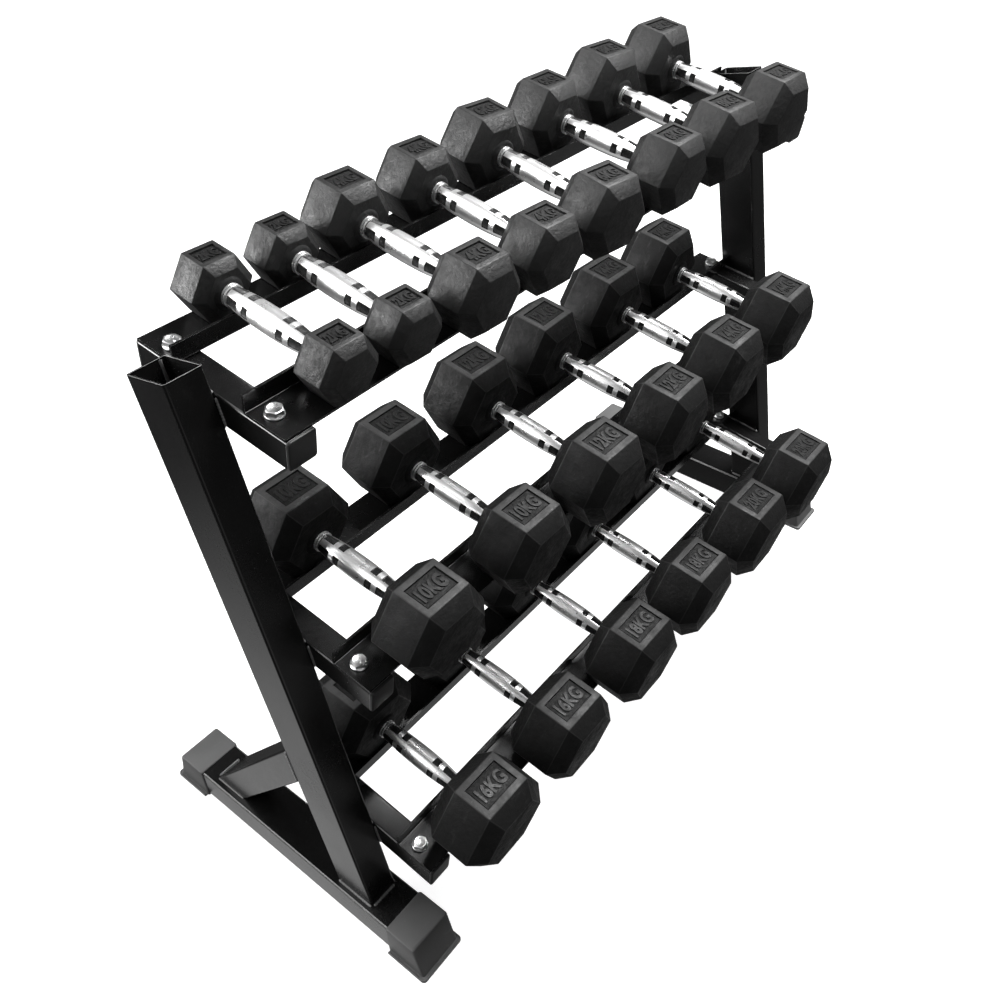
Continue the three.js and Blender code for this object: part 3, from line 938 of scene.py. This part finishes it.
def handle_shape(kg):
    """A barrel handle with grooved collars and two bands of knurled patches at each end."""
    half = SIZES[kg][2] / 2
    side = handle_stations(half)
    rows = [(-y, r, n) for y, r, n in reversed(side[1:])] + side
    shape = bmesh.new()
    rings = []
    for index, (y, radius, number) in enumerate(rows):
        inner_row = (number is not None and 0 < index < len(rows) - 1
                     and rows[index - 1][2] == number and rows[index + 1][2] == number)
        ring = []
        for i in range(HANDLE_SIDES):
            column = (i + PATCH_TURN) % PATCH_PERIOD
            sunk = inner_row and 0 < column < PATCH_SPAN
            reach = (radius or barrel_radius(y, half)) - (KNURL_DEPTH if sunk else 0)
            angle = 2 * math.pi * i / HANDLE_SIDES
            ring.append(shape.verts.new((reach * math.cos(angle), y, reach * math.sin(angle))))
        rings.append(ring)
    for index in range(len(rows) - 1):
        same_patch = rows[index][2] is not None and rows[index][2] == rows[index + 1][2]
        for i in range(HANDLE_SIDES):
            j = (i + 1) % HANDLE_SIDES
            quad = (rings[index][i], rings[index][j], rings[index + 1][j], rings[index + 1][i])
            column = (i + PATCH_TURN) % PATCH_PERIOD
            if same_patch and column < PATCH_SPAN:
                add_knurl(shape, quad, (rows[index][0] + rows[index + 1][0]) / 2, half, i)
            else:
                face = shape.faces.new(quad)
                face.material_index = int(rows[index][1] == rows[index + 1][1] == GROOVE_RADIUS)
    for ring in (rings[0], rings[-1]):
        shape.faces.new(ring)
    return shape


def add_knurl(shape, quad, y, half, i):
    """One small pyramid of the knurling over a cell."""
    angle = 2 * math.pi * (i + 0.5) / HANDLE_SIDES
    reach = barrel_radius(y, half) + KNURL_RISE
    tip = shape.verts.new((reach * math.cos(angle), y, reach * math.sin(angle)))
    for first, second in zip(quad, quad[1:] + quad[:1]):
        face = shape.faces.new((first, second, tip))
        face.material_index = 1


for body in sorted(frame["bodies"]):
    if not body.startswith("dumbbell_"):
        continue
    tag = body.removeprefix("dumbbell_")
    kg = int(tag.split("kg")[0])
    tilt = Matrix.Rotation(SHELF_TILT, 4, "X") @ Matrix.Rotation(-math.radians(TURNS.get(tag, 0)), 4, "Z")
    place = Matrix.Translation(middle(body)) @ tilt
    make_piece(f"handle_{tag}", handle_shape(kg), place, [CHROME, KNURL], body, [body])
    for end, sign in (("front", -1), ("rear", 1)):
        # Small heads get the lit copy of the rubber all over and big heads paler top facets, both painted
        # light.
        sides, top = (TOP_SHELF_LIT_RUBBER, TOP_SHELF_LIT_RUBBER) if kg <= LAST_SMALL_KG else (RUBBER, TOP_FACET_LIT_RUBBER)
        make_piece(f"head_{tag}_{end}", head_shape(kg, sign), place,
                   [sides, RUBBER_PAINTED_EDGE_HIGHLIGHT, RUBBER_PAD_PAINTED_SHADE, RUBBER_LETTERS, top], body, [body])


# ---- Studio ----

# Lengths in this section are metres, except for the camera's lens.
FLOOR_RADIUS = 9
SWEEP_RADIUS = 4
WALL_TOP = 14
CEILING_RISE = 5
BACKDROP_SIDES = 64
BEND_STEPS = 8


def add_backdrop():
    """A paper floor that sweeps up into a wall all round and closes overhead."""
    profile = [(FLOOR_RADIUS - 1, 0), (FLOOR_RADIUS, 0)]
    for step in range(1, BEND_STEPS + 1):
        angle = math.pi / 2 * step / BEND_STEPS
        profile.append((FLOOR_RADIUS + SWEEP_RADIUS * math.sin(angle), SWEEP_RADIUS * (1 - math.cos(angle))))
    wall = FLOOR_RADIUS + SWEEP_RADIUS
    for step in range(BEND_STEPS):
        angle = math.pi / 2 * step / BEND_STEPS
        profile.append((wall * math.cos(angle), WALL_TOP + CEILING_RISE * math.sin(angle)))
    shape = bmesh.new()
    lathe(shape, profile, BACKDROP_SIDES)
    bmesh.ops.recalc_face_normals(shape, faces=shape.faces)
    bmesh.ops.reverse_faces(shape, faces=shape.faces)
    mesh = bpy.data.meshes.new("backdrop")
    shape.to_mesh(mesh)
    shape.free()
    mesh.shade_smooth()
    mesh.materials.append(floor_paper())
    backdrop = bpy.data.objects.new("backdrop", mesh)
    bpy.context.scene.collection.objects.link(backdrop)
    # The rack neither reflects the white paper nor is lit by it, and it would come out too pale if it did.
    backdrop.visible_glossy = False
    backdrop.visible_diffuse = False
    backdrop.visible_shadow = False


def add_softbox(name, place, aim, width, height, radiance, spread=math.pi):
    """A rectangular soft light. Radiance is its brightness straight ahead, whatever its size and spread."""
    light = bpy.data.lights.new(name, "AREA")
    light.shape = "RECTANGLE"
    light.size = width
    light.size_y = height
    light.spread = spread
    light.energy = radiance * width * height * math.pi * (1 - spread / 2 / math.tan(spread / 2))
    softbox = bpy.data.objects.new(name, light)
    softbox.location = place
    softbox.rotation_euler = (Vector(aim) - Vector(place)).to_track_quat("-Z", "Y").to_euler()
    softbox.visible_camera = False
    bpy.context.scene.collection.objects.link(softbox)


def add_studio_walls(fill, lobes):
    """A dim world with soft bright lobes, each a direction, a brightness and two cosines, edge and core."""
    world = bpy.data.worlds.new("studio")
    world.use_nodes = True
    tree = world.node_tree
    way = tree.nodes.new("ShaderNodeTexCoord").outputs["Generated"]
    total = None
    for direction, brightness, edge, core in lobes:
        facing = tree.nodes.new("ShaderNodeVectorMath")
        facing.operation = "DOT_PRODUCT"
        facing.inputs[1].default_value = Vector(direction).normalized()
        tree.links.new(way, facing.inputs[0])
        falloff = tree.nodes.new("ShaderNodeMapRange")
        falloff.interpolation_type = "SMOOTHSTEP"
        for socket, number in zip(("From Min", "From Max", "To Min", "To Max"), (edge, core, 0, brightness)):
            falloff.inputs[socket].default_value = number
        tree.links.new(facing.outputs["Value"], falloff.inputs["Value"])
        joined = tree.nodes.new("ShaderNodeMath")
        if total is None:
            joined.inputs[0].default_value = fill
        else:
            tree.links.new(total, joined.inputs[0])
        tree.links.new(falloff.outputs["Result"], joined.inputs[1])
        total = joined.outputs[0]
    background = tree.nodes["Background"]
    background.inputs["Color"].default_value = (1, 1, 1, 1)
    tree.links.new(total, background.inputs["Strength"])
    bpy.context.scene.world = world


def add_camera(place, yaw, pitch, roll, lens):
    """Yaw turns from +Y towards +X, pitch is upwards, roll turns the picture."""
    forward = Vector((math.sin(yaw) * math.cos(pitch), math.cos(yaw) * math.cos(pitch), math.sin(pitch)))
    level_right = Vector((math.cos(yaw), -math.sin(yaw), 0))
    level_up = level_right.cross(forward)
    right = level_right * math.cos(roll) + level_up * math.sin(roll)
    up = -level_right * math.sin(roll) + level_up * math.cos(roll)
    camera = bpy.data.objects.new("camera", bpy.data.cameras.new("camera"))
    camera.data.lens = lens
    camera.data.sensor_width = 36
    camera.data.clip_start = 0.05
    axes = Matrix((right, up, -forward)).transposed().to_4x4()
    camera.matrix_world = Matrix.Translation(place) @ axes
    bpy.context.scene.collection.objects.link(camera)
    bpy.context.scene.camera = camera


STUDIO_FILL = 0.06
CAMERA_PLACE = (-0.9828, -0.6711, 1.3412)
CAMERA_YAW = math.radians(51.19)
CAMERA_PITCH = math.radians(-40.65)
CAMERA_ROLL = math.radians(-0.52)
CAMERA_LENS = 34.508

add_backdrop()
add_studio_walls(STUDIO_FILL, [
    ((-0.50, 0.60, 0.60), 3.0, 0.78, 0.92),
    ((-0.27, 0.32, -0.91), 0.72, 0.85, 1.0),
    ((-0.87, 0.45, 0.0), 0.12, 0.80, 0.95),
    ((0.59, -0.28, -0.75), 0.3, 0.87, 0.98),
    ((-0.10, -0.86, -0.50), 0.35, 0.87, 0.98),
])
# The narrow back light is aimed at the top shelf. The others light the whole rack.
add_softbox("back_left_softbox", (-1.9, 2.1, 1.45), (0, 0.3, 1.32), 2.2, 1.3, 40.0, spread=math.radians(42))
add_softbox("left_strip_light", (-2.6, 1.4, 1.9), (-0.3, 0.1, 0.4), 2.4, 0.2, 12.0)
add_softbox("overhead_softbox", (1.2, -0.4, 3.0), (0, -0.1, 0.5), 1.7, 1.4, 28.0)
add_softbox("front_left_softbox", (-1.6, -2.6, 2.4), (0, 0, 0.6), 2.0, 1.4, 1.0)
add_softbox("right_softbox", (2.4, -1.0, 1.9), (0, 0, 0.6), 1.6, 1.4, 0.6)
add_camera(CAMERA_PLACE, CAMERA_YAW, CAMERA_PITCH, CAMERA_ROLL, CAMERA_LENS)
bpy.context.scene.view_settings.view_transform = "Standard"
